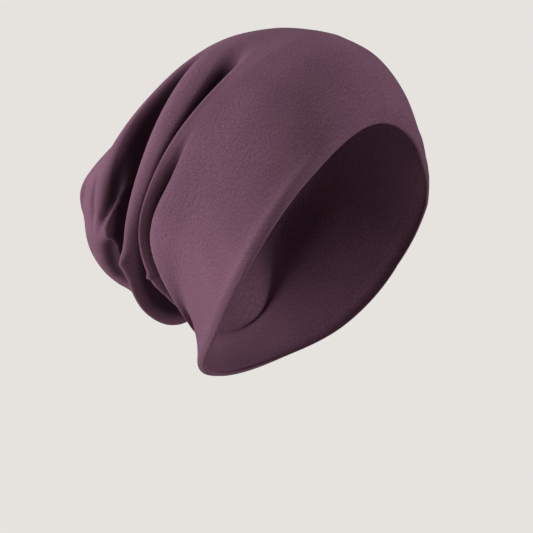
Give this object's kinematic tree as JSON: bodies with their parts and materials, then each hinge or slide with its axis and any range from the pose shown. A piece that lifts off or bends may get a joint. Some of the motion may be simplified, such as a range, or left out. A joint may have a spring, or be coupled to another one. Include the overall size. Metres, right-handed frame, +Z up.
{
  "type": "chemo cap",
  "caption": "Slouchy doubled-jersey cap with a turned hem from forehead to nape, soft rolls behind the crown and a gathered, closed tail, open where the head goes.",
  "frame": {"origin": "the point inside the crown where the top of the head carries the cap", "axes": "+Z up, the wearer's face towards -Y, the wearer's left towards +X, the tail of the cap towards +Y"},
  "size_m": [0.157, 0.2513, 0.2283],
  "materials": {
    "jersey": "matte dusty plum knitted jersey"
  },
  "bodies": {
    "root": {"cap": "jersey"}
  },
  "joints": []
}
